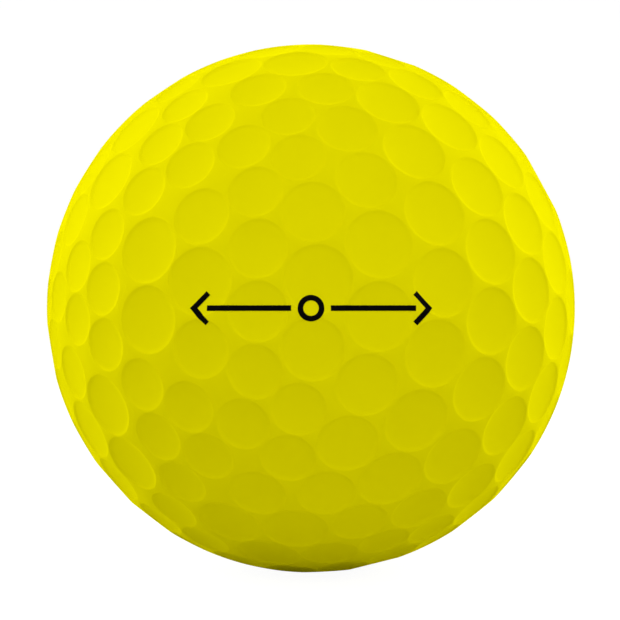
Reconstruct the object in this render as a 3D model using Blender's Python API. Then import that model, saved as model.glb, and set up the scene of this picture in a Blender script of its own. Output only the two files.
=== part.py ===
"""Golf ball: a rubber core, a mantle moulded as two cups, and a dimpled cover moulded as two cups.

Metres, +Z up, with the origin at the ball's centre. The side that carries the printed mark faces -Y.
Every piece is built about the dimple pattern's own pole, and an empty then turns it to the ball's attitude.
"""

import math
from collections import namedtuple

import bmesh
import bpy
from mathutils import Matrix, Vector

MM = 0.001

# Driving sizes
BALL_RADIUS = 42.67 / 2 * MM
COVER_THICKNESS = 1.435 * MM
MANTLE_THICKNESS = 1.1 * MM
PIECE_GAP = 0.3 * MM

COVER_BORE = BALL_RADIUS - COVER_THICKNESS
MANTLE_RADIUS = COVER_BORE - PIECE_GAP
MANTLE_BORE = MANTLE_RADIUS - MANTLE_THICKNESS
CORE_RADIUS = MANTLE_BORE - PIECE_GAP

# The attitude of the pattern's pole: spun about itself, tipped from upright, then swung about +Z
POLE_SPIN = math.radians(-64.0)
POLE_TILT = math.radians(86.5)
POLE_SWING = math.radians(-40.8)

# Dimple sizes, as the diameter of the mouth
LARGE = 4.88 * MM
MEDIUM = 4.50 * MM
MODEST = 4.24 * MM
SMALL = 3.92 * MM

DIMPLE_DEPTH = 0.17 * MM
DIMPLE_SIDES = 10
FLOOR_SHARE = 0.58  # the flat floor's radius, as a share of the mouth's

# The dimples of one cup, as rings about the pole. Angles are in degrees. The pattern repeats six times round,
# and mirrors about each ring's centre: a ring with a spread has a dimple to either side of its centre.
FOLD = 6
Ring = namedtuple("Ring", "latitude centre spread diameter")
RINGS = (
    Ring(90.0, 0, 0, LARGE),
    Ring(76.5, 0, 0, LARGE),
    Ring(66.6, 30, 0, LARGE),
    Ring(62.4, 0, 0, LARGE),
    Ring(53.2, 30, 11.3, LARGE),
    Ring(47.9, 0, 0, MEDIUM),
    Ring(42.2, 30, 0, LARGE),
    Ring(40.0, 0, 13.1, MEDIUM),
    Ring(34.4, 0, 0, SMALL),
    Ring(30.8, 30, 6.8, MODEST),
    Ring(28.6, 0, 10.5, SMALL),
    Ring(23.3, 0, 0, SMALL),
    Ring(19.7, 30, 0, LARGE),
    Ring(18.9, 30, 13.3, MODEST),
    Ring(13.5, 0, 5.5, SMALL),
    Ring(8.0, 30, 6.7, LARGE),
    Ring(3.9, 0, 0, SMALL),
    Ring(4.1, 0, 10.9, SMALL),
)
STAGGER = 30  # the lower cup mirrors the upper one and is turned by this

# The parting line weaves between the two cups' dimples, never further than this from the equator
SEAM_REACH = 8.0
SEAM_STEPS = 72
SEAM_HALVINGS = 16

# Mesh fineness
SPHERE_SEGMENTS = 24
SPHERE_RINGS = 12
SHARP_ANGLE = math.radians(9)

COVER_YELLOW = (0.84, 0.80, 0.01)
MANTLE_CREAM = (0.80, 0.77, 0.68)
CORE_TEAL = (0.05, 0.32, 0.30)

Dimple = namedtuple("Dimple", "latitude longitude centre radius upper")


def direction(latitude, longitude):
    """The unit vector at a latitude and longitude about the pole, in degrees."""
    lat, lon = math.radians(latitude), math.radians(longitude)
    return Vector((math.cos(lat) * math.cos(lon), math.cos(lat) * math.sin(lon), math.sin(lat)))


def ring_longitudes(ring):
    """Where a ring's dimples stand: one at the pole itself, else one or two in each repeat."""
    if ring.latitude == 90.0:
        return [0.0]
    sides = (-ring.spread, ring.spread) if ring.spread else (0.0,)
    return [360 / FOLD * turn + ring.centre + side for turn in range(FOLD) for side in sides]


def all_dimples():
    """The dimples of both cups."""
    found = []
    for upper, sign, turn in ((True, 1, 0), (False, -1, STAGGER)):
        for ring in RINGS:
            for longitude in ring_longitudes(ring):
                place = (sign * ring.latitude, longitude + turn)
                found.append(Dimple(*place, direction(*place), ring.diameter / 2, upper))
    return found


def new_object(name, mesh, collection):
    made = bpy.data.objects.new(name, mesh)
    collection.objects.link(made)
    return made


def object_from(work, name, collection):
    """An object that holds a bmesh, which is freed."""
    mesh = bpy.data.meshes.new(name)
    work.to_mesh(mesh)
    work.free()
    return new_object(name, mesh, collection)


def rim_points(dimple):
    """The corners of a dimple's mouth, which lie on the ball's surface."""
    across = dimple.centre.orthogonal().normalized()
    along = dimple.centre.cross(across)
    out = math.sqrt(BALL_RADIUS**2 - dimple.radius**2)
    for step in range(DIMPLE_SIDES):
        angle = 2 * math.pi * step / DIMPLE_SIDES
        spoke = across * math.cos(angle) + along * math.sin(angle)
        yield dimple.centre * out + spoke * dimple.radius


def sink_mouths(work, dimples, mouths):
    """Turns each dimple's mouth into a shallow bowl with a flat floor."""
    for number, dimple in enumerate(dimples):
        mouth = bmesh.ops.dissolve_faces(work, faces=mouths[number])["region"]
        wall = dimple.radius * (1 - FLOOR_SHARE)
        bmesh.ops.inset_individual(work, faces=mouth, thickness=wall, depth=-DIMPLE_DEPTH)


def dimpled_ball(name, dimples, collection):
    """The ball's whole outer surface: the hull of every dimple's rim, with the mouths sunk in."""
    work = bmesh.new()
    owner = work.verts.layers.int.new("dimple")
    for number, dimple in enumerate(dimples):
        for point in rim_points(dimple):
            work.verts.new(point)[owner] = number
    bmesh.ops.convex_hull(work, input=work.verts)
    mouths = {number: [] for number in range(len(dimples))}
    for face in work.faces:
        owners = {corner[owner] for corner in face.verts}
        if len(owners) == 1:
            mouths[owners.pop()].append(face)
    sink_mouths(work, dimples, mouths)
    bmesh.ops.recalc_face_normals(work, faces=work.faces)
    return object_from(work, name, collection)


def sphere(name, radius, collection):
    """A sphere about the pole. They all have the same facets, so the gaps between them stay even."""
    work = bmesh.new()
    bmesh.ops.create_uvsphere(
        work, u_segments=SPHERE_SEGMENTS, v_segments=SPHERE_RINGS, radius=radius
    )
    return object_from(work, name, collection)


def clearance(point, dimples):
    """The angle from a point on the ball to the edge of the nearest dimple."""
    return min(point.angle(d.centre) - math.asin(d.radius / BALL_RADIUS) for d in dimples)


def seam_latitude(longitude, uppers, lowers):
    """The latitude that is as far from the upper cup's dimples as from the lower cup's."""
    low, high = -SEAM_REACH, SEAM_REACH
    for _ in range(SEAM_HALVINGS):
        middle = (low + high) / 2
        point = direction(middle, longitude)
        if clearance(point, uppers) > clearance(point, lowers):
            low = middle
        else:
            high = middle
    return (low + high) / 2


def parting_line(dimples):
    """The seam's latitude at even steps of longitude. It repeats with the pattern."""
    near = [d for d in dimples if abs(d.latitude) < 2 * SEAM_REACH]
    uppers = [d for d in near if d.upper]
    lowers = [d for d in near if not d.upper]
    steps = range(SEAM_STEPS // FOLD)
    repeat = [seam_latitude(360 * step / SEAM_STEPS, uppers, lowers) for step in steps]
    return repeat * FOLD


def beyond(name, seam, side, collection):
    """A cutter for all that lies past the seam on one side, short of half the gap between two cups.

    It is a fan from the ball's centre to the seam far outside the ball, closed by a tip on the pole.
    """
    reach = 3 * BALL_RADIUS
    back_off = side * math.degrees(PIECE_GAP / 2 / BALL_RADIUS)
    work = bmesh.new()
    edge = [
        work.verts.new(direction(latitude - back_off, 360 * step / len(seam)) * reach)
        for step, latitude in enumerate(seam)
    ]
    heart = work.verts.new((0, 0, 0))
    tip = work.verts.new((0, 0, side * reach))
    for here, after in zip(edge, edge[1:] + edge[:1]):
        work.faces.new((heart, here, after))
        work.faces.new((tip, here, after))
    bmesh.ops.recalc_face_normals(work, faces=work.faces)
    return object_from(work, name, collection)


def cut(piece, cutter):
    modifier = piece.modifiers.new(f"less_{cutter.name}", "BOOLEAN")
    modifier.operation = "DIFFERENCE"
    modifier.solver = "EXACT"
    modifier.object = cutter


def cups(kind, blank, bore, seam, pieces, cutters):
    """Two cups from one blank, each less its bore and less all that lies past the seam."""
    made = []
    for letter, side in (("a", 1), ("b", -1)):
        cup = new_object(f"{kind}_cup_{letter}", blank.data.copy(), pieces)
        cut(cup, bore)
        cut(cup, beyond(f"past_{cup.name}", seam, -side, cutters))
        made.append(cup)
    return made


def ball_material(name, colour, roughness):
    material = bpy.data.materials.new(name)
    material.use_nodes = True
    shader = material.node_tree.nodes["Principled BSDF"]
    shader.inputs["Base Color"].default_value = (*colour, 1.0)
    shader.inputs["Roughness"].default_value = roughness
    shader.inputs["Metallic"].default_value = 0.0
    return material


def finish(piece, material):
    """Gives a piece its material and smooth shading."""
    piece.data.materials.append(material)
    piece.data.shade_smooth()
    piece.data.set_sharp_from_angle(angle=SHARP_ANGLE)


def new_collection(name, hidden=False):
    made = bpy.data.collections.new(name)
    made.hide_render = hidden
    bpy.context.scene.collection.children.link(made)
    return made


def ball_attitude(collection):
    """The empty at the ball's centre that turns the pattern's pole away from upright."""
    attitude = new_object("ball_attitude", None, collection)
    spin = Matrix.Rotation(POLE_SPIN, 4, "Z")
    tilt = Matrix.Rotation(POLE_TILT, 4, "Y")
    swing = Matrix.Rotation(POLE_SWING, 4, "Z")
    attitude.matrix_world = swing @ tilt @ spin
    return attitude


def main():
    for old in list(bpy.data.objects):
        bpy.data.objects.remove(old)
    pieces = new_collection("golf_ball")
    cutters = new_collection("cutters", hidden=True)
    attitude = ball_attitude(pieces)

    dimples = all_dimples()
    cover_blank = dimpled_ball("cover_blank", dimples, cutters)
    cover_bore = sphere("cover_bore", COVER_BORE, cutters)
    mantle_blank = sphere("mantle_blank", MANTLE_RADIUS, cutters)
    mantle_bore = sphere("mantle_bore", MANTLE_BORE, cutters)

    seam = parting_line(dimples)
    equator = [0.0] * SPHERE_SEGMENTS
    cover = cups("cover", cover_blank, cover_bore, seam, pieces, cutters)
    mantle = cups("mantle", mantle_blank, mantle_bore, equator, pieces, cutters)
    core = sphere("core", CORE_RADIUS, pieces)

    for made, colour, roughness in (
        (cover, COVER_YELLOW, 0.38),
        (mantle, MANTLE_CREAM, 0.5),
        ([core], CORE_TEAL, 0.8),
    ):
        for piece in made:
            finish(piece, ball_material(f"{piece.name}_finish", colour, roughness))
    for cutter in cutters.objects:
        cutter.hide_render = True
        cutter.display_type = "WIRE"
    for made in (*pieces.objects, *cutters.objects):
        if made is not attitude:
            made.parent = attitude


main()
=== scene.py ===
"""The golf ball's looks: cover cups with moulded dimples, a printed mark, finishes, light and camera.

The script's unit is the metre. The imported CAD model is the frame: the ball's centre is at the origin, +Z is
up and the printed side faces -Y.
"""

import math
from collections import namedtuple

import bmesh
import bpy
import numpy as np
from mathutils import Matrix, Vector
from mathutils.geometry import delaunay_2d_cdt


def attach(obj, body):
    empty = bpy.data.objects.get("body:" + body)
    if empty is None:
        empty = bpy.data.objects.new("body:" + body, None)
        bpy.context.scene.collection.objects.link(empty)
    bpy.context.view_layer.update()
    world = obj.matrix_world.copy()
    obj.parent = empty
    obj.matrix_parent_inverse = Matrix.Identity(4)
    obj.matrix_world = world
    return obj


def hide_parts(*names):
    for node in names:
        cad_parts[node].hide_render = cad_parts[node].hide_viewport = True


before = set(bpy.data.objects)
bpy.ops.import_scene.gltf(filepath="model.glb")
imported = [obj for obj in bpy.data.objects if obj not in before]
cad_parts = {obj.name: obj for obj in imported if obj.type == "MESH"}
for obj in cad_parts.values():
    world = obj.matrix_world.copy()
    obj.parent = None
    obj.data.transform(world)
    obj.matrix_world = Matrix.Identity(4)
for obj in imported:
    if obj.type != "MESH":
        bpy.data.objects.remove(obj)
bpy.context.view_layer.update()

MM = 0.001
BALL_RADIUS = 42.67 / 2 * MM
COVER_THICKNESS = 1.435 * MM
COVER_BORE = BALL_RADIUS - COVER_THICKNESS

# The pole of the dimple pattern, as in the CAD model
POLE_SPIN = math.radians(-64.0)
POLE_TILT = math.radians(86.5)
POLE_SWING = math.radians(-40.8)
ATTITUDE = np.array(
    Matrix.Rotation(POLE_SWING, 3, "Z")
    @ Matrix.Rotation(POLE_TILT, 3, "Y")
    @ Matrix.Rotation(POLE_SPIN, 3, "Z")
)

# Dimple mouths, as diameters, and the rings they stand in, as in the CAD model. Angles are in degrees.
LARGE = 4.88 * MM
MEDIUM = 4.50 * MM
MODEST = 4.24 * MM
SMALL = 3.92 * MM
MOUTH_SHARE = 0.976  # the moulded edge is rounded, so its middle lies inside the mouth
FOLD = 6
STAGGER = 30
Ring = namedtuple("Ring", "latitude centre spread diameter")
RINGS = (
    Ring(90.0, 0, 0, LARGE),
    Ring(76.5, 0, 0, LARGE),
    Ring(66.6, 30, 0, LARGE),
    Ring(62.4, 0, 0, LARGE),
    Ring(53.2, 30, 11.3, LARGE),
    Ring(47.9, 0, 0, MEDIUM),
    Ring(42.2, 30, 0, LARGE),
    Ring(40.0, 0, 13.1, MEDIUM),
    Ring(34.4, 0, 0, SMALL),
    Ring(30.8, 30, 6.8, MODEST),
    Ring(28.6, 0, 10.5, SMALL),
    Ring(23.3, 0, 0, SMALL),
    Ring(19.7, 30, 0, LARGE),
    Ring(18.9, 30, 13.3, MODEST),
    Ring(13.5, 0, 5.5, SMALL),
    Ring(8.0, 30, 6.7, LARGE),
    Ring(3.9, 0, 0, SMALL),
    Ring(4.1, 0, 10.9, SMALL),
)

# The bowl's slope against the ball's own curve, at a share s of the mouth's radius, is BOWL_SLOPE * s plus
# WALL_SLOPE * s to the WALL_POWER. The edge is rounded off over RIM_ROUND to either side.
BOWL_SLOPE = 0.22
WALL_SLOPE = 0.64
WALL_POWER = 18
RIM_ROUND = 0.085 * MM

# The parting line between the cups, and the gap between their walls at the surface and at the bore
SEAM_STEPS = 720
SEAM_REACH = math.radians(8.0)
SEAM_HALVINGS = 24
SEAM_GAP = 0.004 * MM
BORE_GAP = 0.3 * MM

# Mesh fineness. A dimple's patch is rings of points, from its outer edge inwards: (how many, and where).
# Where is a share of the patch's reach past the dimple's edge, or if negative, RIM_ROUNDs inside that edge.
# A bowl ring's is a share of the dimple's radius.
RIM_RINGS = ((48, 0.5), (48, 0.0), (48, -0.5), (48, -1.0), (48, -1.7), (48, -2.6))
BOWL_RINGS = ((24, 0.83), (24, 0.74), (24, 0.58), (12, 0.4), (12, 0.2), (1, 0.0))

# A patch ends short of its nearest neighbours' patches, which takes a few passes to find
NEIGHBOURS = 9
EDGE_PASSES = 8
PATCH_SHARE = 0.94

# The land's points are spread by the golden angle and keep LAND_MARGIN from the patches and the seam
LAND_PITCH = 0.45 * MM
LAND_MARGIN = 0.2 * MM
GOLDEN_ANGLE = math.pi * (3 - math.sqrt(5))
CDT_ALL_TRIANGLES = 0
CDT_TOLERANCE = 1e-9
BORE_ROWS = 12
SHARP_ANGLE = math.radians(60)


# ---------------------------------------------------------------- the dimple pattern


def directions(latitudes, longitudes):
    """Unit vectors from arrays of latitude and longitude in radians, about the pattern's pole."""
    flat = np.cos(latitudes)
    return np.stack([flat * np.cos(longitudes), flat * np.sin(longitudes), np.sin(latitudes)], axis=-1)


def pattern():
    """(centres, angular radii, whether each belongs to cup a) of all the dimples."""
    places, radii, in_a = [], [], []
    for upper, sign, turn in ((True, 1, 0), (False, -1, STAGGER)):
        for ring in RINGS:
            sides = (-ring.spread, ring.spread) if ring.spread else (0.0,)
            turns = range(1 if ring.latitude == 90.0 else FOLD)
            for step in turns:
                for side in sides:
                    longitude = 360 / FOLD * step + ring.centre + side + turn
                    places.append((sign * ring.latitude, longitude))
                    radii.append(math.asin(MOUTH_SHARE * ring.diameter / 2 / BALL_RADIUS))
                    in_a.append(upper)
    latitudes, longitudes = np.radians(np.array(places)).T
    return directions(latitudes, longitudes), np.array(radii), np.array(in_a)


CENTRES, RADII, IN_A = pattern()


def edge_distances(points, centres, radii):
    """How far each point lies outside each dimple's edge, in metres along the ball. Inside is negative."""
    chords = np.linalg.norm(points[:, None, :] - centres[None], axis=2)
    return (2 * np.arcsin(np.minimum(chords / 2, 1.0)) - radii) * BALL_RADIUS


def bowl_depth(share):
    """How deep a bowl is at a share of its radius, per unit of that radius. It is negative beyond 1."""
    floor = BOWL_SLOPE / 2 * (1 - share**2)
    wall = WALL_SLOPE / (WALL_POWER + 1) * (1 - share ** (WALL_POWER + 1))
    return floor + wall


def sunk(points, block=4096):
    """How deep the surface lies below the ball's own curve at each unit vector."""
    mouths = RADII * BALL_RADIUS
    rounded = (BOWL_SLOPE + WALL_SLOPE) * RIM_ROUND
    found = np.empty(len(points))
    for start in range(0, len(points), block):
        out = edge_distances(points[start : start + block], CENTRES, RADII)
        bowl = mouths * bowl_depth(1 + out / mouths)
        blend = (bowl + rounded) ** 2 / (4 * rounded)
        bowl = np.where(bowl > rounded, bowl, np.where(bowl < -rounded, 0.0, blend))
        found[start : start + block] = bowl.sum(axis=1)
    return found


def on_surface(points, lift=0.0):
    """The moulded surface's points under unit vectors, in the pattern's own frame."""
    return points * (BALL_RADIUS - sunk(points) + lift)[:, None]


def to_ball(points):
    """Points from the pattern's own frame, turned with the ball."""
    return points @ ATTITUDE.T


def from_ball(points):
    return points @ ATTITUDE


# ---------------------------------------------------------------- the cover's fine mesh


def spokes(near_pole=0.9):
    """Two unit vectors across each dimple's centre. They turn anticlockwise, seen from outside."""
    up = np.where(np.abs(CENTRES[:, 2:]) < near_pole, [[0.0, 0.0, 1.0]], [[1.0, 0.0, 0.0]])
    across = np.cross(up, CENTRES)
    across /= np.linalg.norm(across, axis=1, keepdims=True)
    return across, np.cross(CENTRES, across)


ACROSS, ALONG = spokes()


def ring_points(out, which):
    """Unit vectors round the chosen dimples, at distances out (dimples, steps) past their edges."""
    steps = out.shape[1]
    turns = (np.arange(steps) * 2 * math.pi / steps)[:, None]
    spoke = ACROSS[which, None] * np.cos(turns) + ALONG[which, None] * np.sin(turns)
    angle = (RADII[which, None] + out / BALL_RADIUS)[..., None]
    return CENTRES[which, None] * np.cos(angle) + spoke * np.sin(angle)


def patch_edges(steps):
    """How far each dimple's patch reaches past its edge: RIM_ROUND, or midway to a nearer neighbour."""
    out = np.full((len(CENTRES), steps), RIM_ROUND)
    for number, centre in enumerate(CENTRES):
        near = np.argsort(-CENTRES @ centre)[1 : NEIGHBOURS + 1]
        for _ in range(EDGE_PASSES):
            points = ring_points(out[number : number + 1], [number])[0]
            gap = edge_distances(points, CENTRES[near], RADII[near]).min(axis=1)
            out[number] = np.minimum(out[number], (out[number] + gap) / 2)
    return out * PATCH_SHARE


def strips(counts):
    """Triangles that join rings of so many points, each ring as fine as the one before or coarser.

    The points are numbered ring by ring. Seen from where the rings turn anticlockwise, so do the triangles.
    """
    triangles, start = [], 0
    for outer, inner in zip(counts, counts[1:]):
        ratio, after = outer // inner, start + outer
        for step in range(outer):
            joined = after + (step + ratio - 1) // ratio % inner
            triangles.append((start + step, start + (step + 1) % outer, joined))
        for step in range(inner if inner > 1 else 0):
            triangles.append((start + (step * ratio + 1) % outer, after + (step + 1) % inner, after + step))
        start = after
    return np.array(triangles)


def dimple_patches():
    """(points, triangles, edge_steps) of every dimple's patch.

    Points and triangles have one row a dimple. A row's first edge_steps points are its patch's outer edge.
    """
    everyone = np.arange(len(CENTRES))
    edge_steps = RIM_RINGS[0][0]
    reach = patch_edges(edge_steps)
    rings = [reach]
    for steps, place in RIM_RINGS:
        rings.append(reach * place if place > 0 else np.full((len(CENTRES), steps), place * RIM_ROUND))
    for steps, share in BOWL_RINGS:
        rings.append(np.repeat((share - 1) * RADII[:, None] * BALL_RADIUS, steps, axis=1))
    points = np.concatenate([ring_points(ring, everyone) for ring in rings], axis=1)
    triangles = strips([ring.shape[1] for ring in rings])
    first = everyone * points.shape[1]
    return points, triangles[None] + first[:, None, None], edge_steps


def clearances(points):
    """Each unit vector's distance from the nearest dimple of cup a, and of cup b."""
    return (edge_distances(points, CENTRES[cup], RADII[cup]).min(axis=1) for cup in (IN_A, ~IN_A))


def seam_latitudes():
    """The parting line: the latitudes that are as far from cup a's dimples as from cup b's."""
    low = np.full(SEAM_STEPS, -SEAM_REACH)
    high = -low
    for _ in range(SEAM_HALVINGS):
        middle = (low + high) / 2
        to_a, to_b = clearances(directions(middle, SEAM_LONGITUDES))
        low, high = np.where(to_a > to_b, middle, low), np.where(to_a > to_b, high, middle)
    return (low + high) / 2


SEAM_LONGITUDES = np.arange(SEAM_STEPS) * 2 * math.pi / SEAM_STEPS
SEAM_LATITUDES = seam_latitudes()


def land_points():
    """Unit vectors spread evenly over the land between the dimples, clear of their patches and the seam."""
    count = round(4 * math.pi * BALL_RADIUS**2 / (LAND_PITCH**2 * math.sqrt(3) / 2))
    steps = np.arange(count)
    heights = 1 - (2 * steps + 1) / count
    points = directions(np.arcsin(heights), steps * GOLDEN_ANGLE)
    to_a, to_b = clearances(points)
    clear = np.minimum(to_a, to_b) > RIM_ROUND + LAND_MARGIN
    return points[clear & (np.abs(to_a - to_b) > 2 * LAND_MARGIN)]


def from_lower_pole(points):
    """Unit vectors projected to a plane from the lower pole, which keeps a circle a circle."""
    return points[:, :2] / (1 + points[:, 2:])


def loop_edges(first, count):
    return [(first + step, first + (step + 1) % count) for step in range(count)]


def land_mesh(patches, edge_steps):
    """(points, triangles, cup) of the land: the points of every patch's edge, the seam's, then its own."""
    edges = patches[:, :edge_steps].reshape(-1, 3)
    seam = directions(SEAM_LATITUDES, SEAM_LONGITUDES)
    points = np.concatenate([edges, seam, land_points()])
    fixed = []
    for number in range(len(CENTRES)):
        fixed += loop_edges(number * edge_steps, edge_steps)
    fixed += loop_edges(len(edges), SEAM_STEPS)
    flat = [Vector(point) for point in from_lower_pole(points)]
    made, _, faces, sources, _, _ = delaunay_2d_cdt(flat, fixed, [], CDT_ALL_TRIANGLES, CDT_TOLERANCE)
    if len(made) != len(points):
        raise RuntimeError("The land's outlines cross or touch")
    order = np.array([source[0] for source in sources])
    triangles = order[np.array(faces)]

    own = len(edges) + SEAM_STEPS
    owner = np.full(len(points), -1)
    owner[: len(edges)] = np.repeat(np.arange(len(CENTRES)), edge_steps)
    owners = owner[triangles]
    inside = (owners[:, 0] >= 0) & (owners[:, 0] == owners[:, 1]) & (owners[:, 1] == owners[:, 2])
    triangles = triangles[~inside]

    # A corner counts +1 on cup a's side of the seam and -1 on cup b's. A corner on the seam counts nothing.
    side = np.zeros(len(points))
    side[: len(edges)] = np.where(IN_A, 1, -1).repeat(edge_steps)
    to_a, to_b = clearances(points[own:])
    side[own:] = np.where(to_a < to_b, 1, -1)
    sides = side[triangles].sum(axis=1)
    middles = points[triangles].mean(axis=1)
    to_a, to_b = clearances(middles / np.linalg.norm(middles, axis=1, keepdims=True))
    return points, triangles, np.where(sides == 0, to_a < to_b, sides > 0)


def cup_bore(first, outer, sign):
    """(points, triangles) of a cup's wall at the seam and its bore.

    Its new points are numbered from first. outer holds the numbers of the seam's points on the surface. sign
    is 1 for cup a, whose dimples stand above the pattern's equator, and -1 for cup b.
    """
    seam = SEAM_LATITUDES + sign * BORE_GAP / 2 / BALL_RADIUS
    rows = []
    for row in range(BORE_ROWS):
        latitudes = seam + (sign * math.pi / 2 - seam) * row / BORE_ROWS
        rows.append(directions(latitudes, SEAM_LONGITUDES) * COVER_BORE)
    rows.append(np.array([[0.0, 0.0, sign * COVER_BORE]]))
    points = np.concatenate(rows)
    bore = strips([SEAM_STEPS] * BORE_ROWS + [1]) + first
    steps = np.arange(SEAM_STEPS)
    after = (steps + 1) % SEAM_STEPS
    wall = np.concatenate(
        [
            np.stack([outer[steps], first + steps, outer[after]], axis=1),
            np.stack([outer[after], first + steps, first + after], axis=1),
        ]
    )
    return points, np.concatenate([bore, wall])


def new_piece(name, points, triangles, material):
    """A closed mesh piece, shaded smooth and facing outwards, from points in the pattern's frame."""
    used, triangles = np.unique(triangles, return_inverse=True)
    mesh = bpy.data.meshes.new(name)
    mesh.from_pydata(to_ball(points[used]), [], triangles.reshape(-1, 3))
    work = bmesh.new()
    work.from_mesh(mesh)
    bmesh.ops.recalc_face_normals(work, faces=work.faces)
    work.to_mesh(mesh)
    work.free()
    mesh.shade_smooth()
    mesh.set_sharp_from_angle(angle=SHARP_ANGLE)
    mesh.materials.append(material)
    piece = bpy.data.objects.new(name, mesh)
    bpy.context.scene.collection.objects.link(piece)
    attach(piece, "root")
    return piece


def cover_cups(material):
    """The two moulded cups of the cover, each closed by its wall at the seam and its bore."""
    patches, patch_triangles, edge_steps = dimple_patches()
    land, land_triangles, land_in_a = land_mesh(patches, edge_steps)
    inner = patches[:, edge_steps:].reshape(-1, 3)
    edge_count = len(CENTRES) * edge_steps
    points = on_surface(np.concatenate([land, inner]))

    # A patch's own numbering becomes the shared one: its edge is among the land's points
    number = np.concatenate(
        [
            np.arange(edge_count).reshape(len(CENTRES), -1),
            len(land) + np.arange(len(inner)).reshape(len(CENTRES), -1),
        ],
        axis=1,
    ).reshape(-1)
    outer_seam = edge_count + np.arange(SEAM_STEPS)
    for letter, sign, members in (("a", 1, IN_A), ("b", -1, ~IN_A)):
        latitudes = SEAM_LATITUDES + sign * SEAM_GAP / 2 / BALL_RADIUS
        cup_points = points.copy()
        cup_points[outer_seam] = on_surface(directions(latitudes, SEAM_LONGITUDES))
        bore_points, bore_triangles = cup_bore(len(points), outer_seam, sign)
        triangles = [
            number[patch_triangles[members].reshape(-1, 3)],
            land_triangles[land_in_a == (sign > 0)],
            bore_triangles,
        ]
        cup = new_piece(
            f"cover_skin_{letter}",
            np.concatenate([cup_points, bore_points]),
            np.concatenate(triangles),
            material,
        )
        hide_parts(f"cover_cup_{letter}")


# ---------------------------------------------------------------- the printed mark

# The film stands MARK_LIFT proud of the cover, and its hidden underside lies MARK_ROOT deep in it
MARK_LIFT = 0.018 * MM
MARK_ROOT = 0.04 * MM
MARK_PITCH = 0.07 * MM
STROKE_WIDTH = 0.38 * MM
STROKE_ROWS = 6

# Strokes as corners (across, up) on the printed side, in mm. The right half mirrors the left.
CHEVRON = ((-7.15, 1.05), (-8.15, 0.0), (-7.15, -1.05))
LINE = ((-7.2, 0.0), (-1.35, 0.0))
EYE_RADIUS = 0.72
EYE_SIDES = 60


def along(path, closed):
    """(points, sideways) every MARK_PITCH or so along a path, with its corners kept. Sideways is mitred."""
    path = np.array(path) * MM
    ends = np.roll(path, -1, axis=0) if closed else path[1:]
    starts = path if closed else path[:-1]
    points, sideways = [], []
    runs = ends - starts
    normals = np.stack([-runs[:, 1], runs[:, 0]], axis=1) / np.linalg.norm(runs, axis=1)[:, None]
    for number, (start, run, normal) in enumerate(zip(starts, runs, normals)):
        before = normals[number - 1] if number or closed else normal
        steps = max(1, round(np.linalg.norm(run) / MARK_PITCH))
        for step in range(steps):
            points.append(start + run * step / steps)
            mitre = (before + normal) if step == 0 else normal
            sideways.append(mitre / (mitre @ normal))
    if not closed:
        points.append(path[-1])
        sideways.append(normals[-1])
    return np.array(points), np.array(sideways)


def on_front(places):
    """Unit vectors in the pattern's frame to places (across, up) on the side that faces -Y."""
    depth = -np.sqrt(BALL_RADIUS**2 - (places**2).sum(axis=1))
    return from_ball(np.stack([places[:, 0], depth, places[:, 1]], axis=1) / BALL_RADIUS)


def stroke(path, closed=False):
    """(points, triangles) of one closed strip of film, which follows the dimples under it."""
    spine, sideways = along(path, closed)
    shares = np.linspace(-0.5, 0.5, STROKE_ROWS + 1)
    places = (spine[:, None] + sideways[:, None] * shares[:, None] * STROKE_WIDTH).reshape(-1, 2)
    top = on_surface(on_front(places), MARK_LIFT)
    bottom = on_surface(on_front(places), -MARK_ROOT)
    rows, count = STROKE_ROWS + 1, len(spine)
    quads = []
    for step in range(count if closed else count - 1):
        here, after = step * rows, (step + 1) % count * rows
        low, far = here + len(top), after + len(top)
        for row in range(STROKE_ROWS):
            quads.append((here + row, here + row + 1, after + row + 1, after + row))
            quads.append((low + row, far + row, far + row + 1, low + row + 1))
        quads.append((here, after, far, low))
        quads.append((here + STROKE_ROWS, low + STROKE_ROWS, far + STROKE_ROWS, after + STROKE_ROWS))
    if not closed:
        last = (count - 1) * rows
        for row in range(STROKE_ROWS):
            quads.append((row, row + len(top), row + 1 + len(top), row + 1))
            quads.append((last + row, last + row + 1, last + row + 1 + len(top), last + row + len(top)))
    quads = np.array(quads)
    triangles = np.concatenate([quads[:, [0, 1, 2]], quads[:, [0, 2, 3]]])
    return np.concatenate([top, bottom]), triangles


def alignment_mark(material):
    """An aiming line across the printed side: an eye in the middle and an arrowhead at each end."""
    mirrored = [tuple((-across, up) for across, up in path) for path in (CHEVRON, LINE)]
    turns = np.arange(EYE_SIDES) * 2 * math.pi / EYE_SIDES
    eye = EYE_RADIUS * np.stack([np.cos(turns), np.sin(turns)], axis=1)
    strokes = [stroke(path) for path in (CHEVRON, LINE, *mirrored)] + [stroke(eye, closed=True)]
    points, triangles, first = [], [], 0
    for stroke_points, stroke_triangles in strokes:
        points.append(stroke_points)
        triangles.append(stroke_triangles + first)
        first += len(stroke_points)
    new_piece("alignment_mark", np.concatenate(points), np.concatenate(triangles), material)


# ---------------------------------------------------------------- materials


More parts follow.
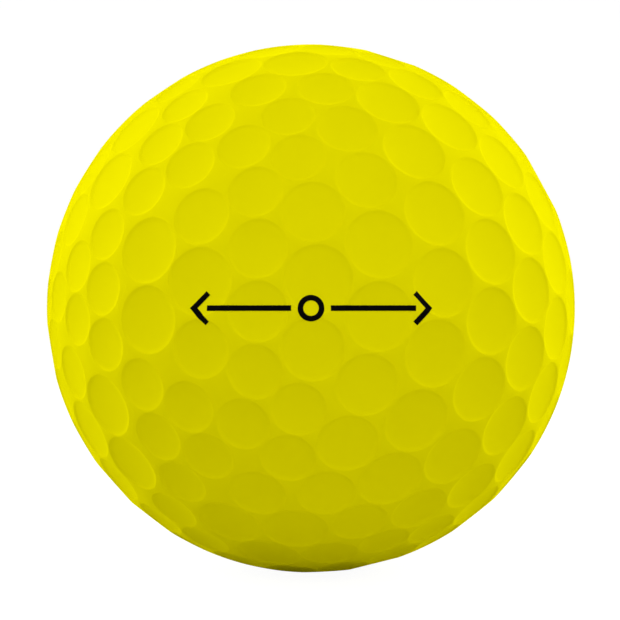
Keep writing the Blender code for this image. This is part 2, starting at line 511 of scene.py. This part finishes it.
# Each finish's plain colour, then the two tones that its noise moves between
COVER_YELLOW = (0.646, 0.59, 0.0)
COVER_TONES = ((0.651, 0.595, 0.0), (0.641, 0.585, 0.0))
COVER_SHEEN_TINT = (1.0, 0.94, 0.0)
INK_BLACK = (0.0015, 0.0015, 0.0015)
INK_TONES = ((0.001, 0.001, 0.001), (0.002, 0.002, 0.002))
MANTLE_CREAM = (0.72, 0.68, 0.56)
MANTLE_TONES = ((0.72, 0.68, 0.56), (0.67, 0.63, 0.51))
CORE_TEAL = (0.03, 0.24, 0.22)
CORE_TONES = ((0.025, 0.21, 0.20), (0.05, 0.30, 0.27))
PAPER_GREY = (0.15, 0.15, 0.15)
PAPER_TONES = ((0.16, 0.16, 0.16), (0.14, 0.14, 0.14))
SWEEP_WHITE = (1.0, 1.0, 1.0)
SWEEP_GLOW = 0.95

# The table carries a painted contact shadow: it is black under the ball and reaches its full grey at the
# shadow's reach from there
TABLE_GREY = (0.6, 0.6, 0.6)
CONTACT_SHADOW_PAINT = (0.0, 0.0, 0.0)
CONTACT_SHADOW_REACH = 9 * MM

# Noise scales, in features per metre
COVER_MOTTLE = 220
MOULD_GRAIN = 5200
INK_MOTTLE = 2400
MANTLE_MOTTLE = 500
MANTLE_GRAIN = 3000
CORE_SPECKS = 1500
PAPER_FIBRE = 900

# The noise's octaves, and the range that most of it lies in
PLAIN_DETAIL = 3.0
SPECK_DETAIL = 6.0
NOISE_LOW = 0.3
NOISE_HIGH = 0.7


def new_material(name, colour, roughness, specular):
    """(material, nodes, links, shader) with the shader's plain values set."""
    material = bpy.data.materials.new(name)
    material.use_nodes = True
    tree = material.node_tree
    shader = tree.nodes["Principled BSDF"]
    shader.inputs["Base Color"].default_value = (*colour, 1.0)
    shader.inputs["Roughness"].default_value = roughness
    shader.inputs["Specular IOR Level"].default_value = specular
    return material, tree.nodes, tree.links, shader


def noise(nodes, links, scale, detail=PLAIN_DETAIL):
    """A noise field in the object's own coordinates."""
    place = nodes.new("ShaderNodeTexCoord")
    field = nodes.new("ShaderNodeTexNoise")
    field.inputs["Scale"].default_value = scale
    field.inputs["Detail"].default_value = detail
    links.new(place.outputs["Object"], field.inputs["Vector"])
    return field.outputs["Fac"]


def spread(nodes, links, factor, low, high):
    """Maps a noise field's usual range to low to high."""
    mapped = nodes.new("ShaderNodeMapRange")
    mapped.inputs["From Min"].default_value = NOISE_LOW
    mapped.inputs["From Max"].default_value = NOISE_HIGH
    mapped.inputs["To Min"].default_value = low
    mapped.inputs["To Max"].default_value = high
    links.new(factor, mapped.inputs["Value"])
    return mapped.outputs["Result"]


def mix_colour(nodes, links, shader, share, tones):
    """Sets the shader's colour to a mix of two tones. share is 0 at the first and 1 at the second."""
    mix = nodes.new("ShaderNodeMix")
    mix.data_type = "RGBA"
    mix.inputs["A"].default_value = (*tones[0], 1.0)
    mix.inputs["B"].default_value = (*tones[1], 1.0)
    links.new(share, mix.inputs["Factor"])
    links.new(mix.outputs["Result"], shader.inputs["Base Color"])


def vary_colour(nodes, links, shader, factor, tones):
    mix_colour(nodes, links, shader, spread(nodes, links, factor, low=0.0, high=1.0), tones)


def add_bump(nodes, links, shader, factor, distance):
    bump = nodes.new("ShaderNodeBump")
    bump.inputs["Distance"].default_value = distance
    links.new(factor, bump.inputs["Height"])
    links.new(bump.outputs["Normal"], shader.inputs["Normal"])


def cover_material():
    """Yellow moulded ionomer: fine mould grain, and a soft glow towards its edges."""
    material, nodes, links, shader = new_material(
        "cover_ionomer", COVER_YELLOW, roughness=0.45, specular=0.0
    )
    shader.inputs["Sheen Weight"].default_value = 0.5
    shader.inputs["Sheen Roughness"].default_value = 0.5
    shader.inputs["Sheen Tint"].default_value = (*COVER_SHEEN_TINT, 1.0)
    vary_colour(nodes, links, shader, noise(nodes, links, COVER_MOTTLE), COVER_TONES)
    grain = noise(nodes, links, MOULD_GRAIN)
    links.new(spread(nodes, links, grain, low=0.42, high=0.5), shader.inputs["Roughness"])
    add_bump(nodes, links, shader, grain, distance=0.001 * MM)
    return material


def ink_material():
    """Black pad-printed ink, a little uneven."""
    material, nodes, links, shader = new_material(
        "mark_ink_film", INK_BLACK, roughness=0.5, specular=0.01
    )
    density = noise(nodes, links, INK_MOTTLE)
    vary_colour(nodes, links, shader, density, INK_TONES)
    links.new(spread(nodes, links, density, low=0.45, high=0.6), shader.inputs["Roughness"])
    return material


def mantle_material():
    """Cream ionomer with a faint moulded mottle."""
    material, nodes, links, shader = new_material(
        "mantle_ionomer", MANTLE_CREAM, roughness=0.5, specular=0.4
    )
    vary_colour(nodes, links, shader, noise(nodes, links, MANTLE_MOTTLE), MANTLE_TONES)
    add_bump(nodes, links, shader, noise(nodes, links, MANTLE_GRAIN), distance=0.004 * MM)
    return material


def core_material():
    """Teal rubber with pressed-in specks."""
    material, nodes, links, shader = new_material(
        "core_rubber", CORE_TEAL, roughness=0.75, specular=0.3
    )
    specks = noise(nodes, links, CORE_SPECKS, detail=SPECK_DETAIL)
    vary_colour(nodes, links, shader, specks, CORE_TONES)
    add_bump(nodes, links, shader, specks, distance=0.02 * MM)
    return material


def sweep_material():
    """White studio paper that glows, so that it stays white right up to the ball."""
    material, nodes, links, shader = new_material(
        "sweep_paper", PAPER_GREY, roughness=0.9, specular=0.0
    )
    vary_colour(nodes, links, shader, noise(nodes, links, PAPER_FIBRE), PAPER_TONES)
    shader.inputs["Emission Color"].default_value = (*SWEEP_WHITE, 1.0)
    shader.inputs["Emission Strength"].default_value = SWEEP_GLOW
    return material


def table_painted_shadow_material():
    """Matt card with a painted contact shadow, black where the ball stands."""
    material, nodes, links, shader = new_material(
        "table_card_painted_shadow", TABLE_GREY, roughness=0.9, specular=0.0
    )
    # Painted contact shadow: black right under the ball, mixing to the table's grey with distance
    place = nodes.new("ShaderNodeTexCoord")
    distance = nodes.new("ShaderNodeVectorMath")
    distance.operation = "LENGTH"
    links.new(place.outputs["Object"], distance.inputs[0])
    reach = nodes.new("ShaderNodeMapRange")
    reach.inputs["From Max"].default_value = CONTACT_SHADOW_REACH
    links.new(distance.outputs["Value"], reach.inputs["Value"])
    mix_colour(nodes, links, shader, reach.outputs["Result"], (CONTACT_SHADOW_PAINT, TABLE_GREY))
    return material


# ---------------------------------------------------------------- the studio

CAMERA_PLACE = Vector((-0.07, -122.1, -0.13)) * MM
CAMERA_LENS = 86.4
CAMERA_SENSOR = 36.0
CAMERA_CLIP = 0.01

# The sweep: a flat floor that curves up into a wall all round. These are radii and a height.
SWEEP_FLOOR = 1.2
SWEEP_BEND = 0.8
SWEEP_TOP = 3.0
SWEEP_SIDES = 64
SWEEP_BEND_STEPS = 12

# The table lies TABLE_DROP under the ball
TABLE_RADIUS = 1.0
TABLE_SIDES = 64
TABLE_DROP = 0.1 * MM

AMBIENT = 0.36

# Soft boxes round the ball. Angles are in degrees and power in watts. Azimuth 0 is the camera's side and 90
# is +X.
Light = namedtuple("Light", "azimuth elevation power")
LIGHTS = (
    Light(-110, 17, 3.30),
    Light(118, 20, 3.05),
    Light(15, 10, 0.78),
    Light(5, 40, 1.18),
    Light(0, 75, 1.07),
)
LIGHT_DISTANCE = 0.6
LIGHT_SIZE = 0.45


def studio_sweep():
    """The floor and its curved wall. The camera sees it, but it casts no light back on the ball."""
    profile = [(0.0, 0.0), (SWEEP_FLOOR, 0.0)]
    for step in range(1, SWEEP_BEND_STEPS + 1):
        turn = math.pi / 2 * step / SWEEP_BEND_STEPS
        profile.append((SWEEP_FLOOR + SWEEP_BEND * math.sin(turn), SWEEP_BEND * (1 - math.cos(turn))))
    profile.append((SWEEP_FLOOR + SWEEP_BEND, SWEEP_TOP))
    work = bmesh.new()
    corners = [work.verts.new((radius, 0, height - BALL_RADIUS)) for radius, height in profile]
    edges = [work.edges.new(pair) for pair in zip(corners, corners[1:])]
    bmesh.ops.spin(
        work,
        geom=corners + edges,
        axis=(0, 0, 1),
        cent=(0, 0, 0),
        angle=2 * math.pi,
        steps=SWEEP_SIDES,
        use_merge=True,
    )
    bmesh.ops.remove_doubles(work, verts=work.verts, dist=MM)
    mesh = bpy.data.meshes.new("studio_sweep")
    work.to_mesh(mesh)
    work.free()
    mesh.shade_smooth()
    mesh.materials.append(sweep_material())
    sweep = bpy.data.objects.new("studio_sweep", mesh)
    sweep.visible_diffuse = False
    sweep.visible_glossy = False
    sweep.visible_shadow = False
    bpy.context.scene.collection.objects.link(sweep)


def studio_table():
    """The surface that the ball's underside sees, darker than the sweep and with a painted contact shadow.
    The camera doesn't see it.
    """
    mesh = bpy.data.meshes.new("studio_table")
    work = bmesh.new()
    bmesh.ops.create_circle(work, cap_ends=True, segments=TABLE_SIDES, radius=TABLE_RADIUS)
    work.to_mesh(mesh)
    work.free()
    mesh.materials.append(table_painted_shadow_material())
    table = bpy.data.objects.new("studio_table", mesh)
    table.location.z = -TABLE_DROP - BALL_RADIUS
    table.visible_camera = False
    bpy.context.scene.collection.objects.link(table)


def surroundings():
    """Even white light from all round."""
    world = bpy.data.worlds.new("studio")
    world.use_nodes = True
    backdrop = world.node_tree.nodes["Background"]
    backdrop.inputs["Color"].default_value = (1.0, 1.0, 1.0, 1.0)
    backdrop.inputs["Strength"].default_value = AMBIENT
    bpy.context.scene.world = world


def soft_boxes():
    """Square lights that face the ball."""
    for number, light in enumerate(LIGHTS):
        lamp = bpy.data.lights.new(f"softbox_{number}", "AREA")
        lamp.size = LIGHT_SIZE
        lamp.energy = light.power
        softbox = bpy.data.objects.new(lamp.name, lamp)
        azimuth, elevation = math.radians(light.azimuth), math.radians(light.elevation)
        away = Vector((math.sin(azimuth), -math.cos(azimuth), math.tan(elevation))).normalized()
        softbox.location = away * LIGHT_DISTANCE
        softbox.rotation_euler = away.to_track_quat("Z", "Y").to_euler()
        softbox.visible_camera = False
        bpy.context.scene.collection.objects.link(softbox)


def studio_camera():
    lens = bpy.data.cameras.new("camera")
    lens.lens = CAMERA_LENS
    lens.sensor_width = CAMERA_SENSOR
    lens.clip_start = CAMERA_CLIP
    camera = bpy.data.objects.new("camera", lens)
    camera.location = CAMERA_PLACE
    camera.rotation_euler = (math.radians(90), 0, 0)
    bpy.context.scene.collection.objects.link(camera)
    bpy.context.scene.camera = camera


def repaint(node, material):
    """Gives a CAD piece that stays in the model its finish."""
    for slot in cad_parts[node].material_slots:
        slot.material = material


def main():
    cover_cups(cover_material())
    alignment_mark(ink_material())
    repaint("core", core_material())
    mantle = mantle_material()
    repaint("mantle_cup_a", mantle)
    repaint("mantle_cup_b", mantle)
    studio_sweep()
    studio_table()
    surroundings()
    soft_boxes()
    studio_camera()
    bpy.context.scene.view_settings.view_transform = "Standard"


main()
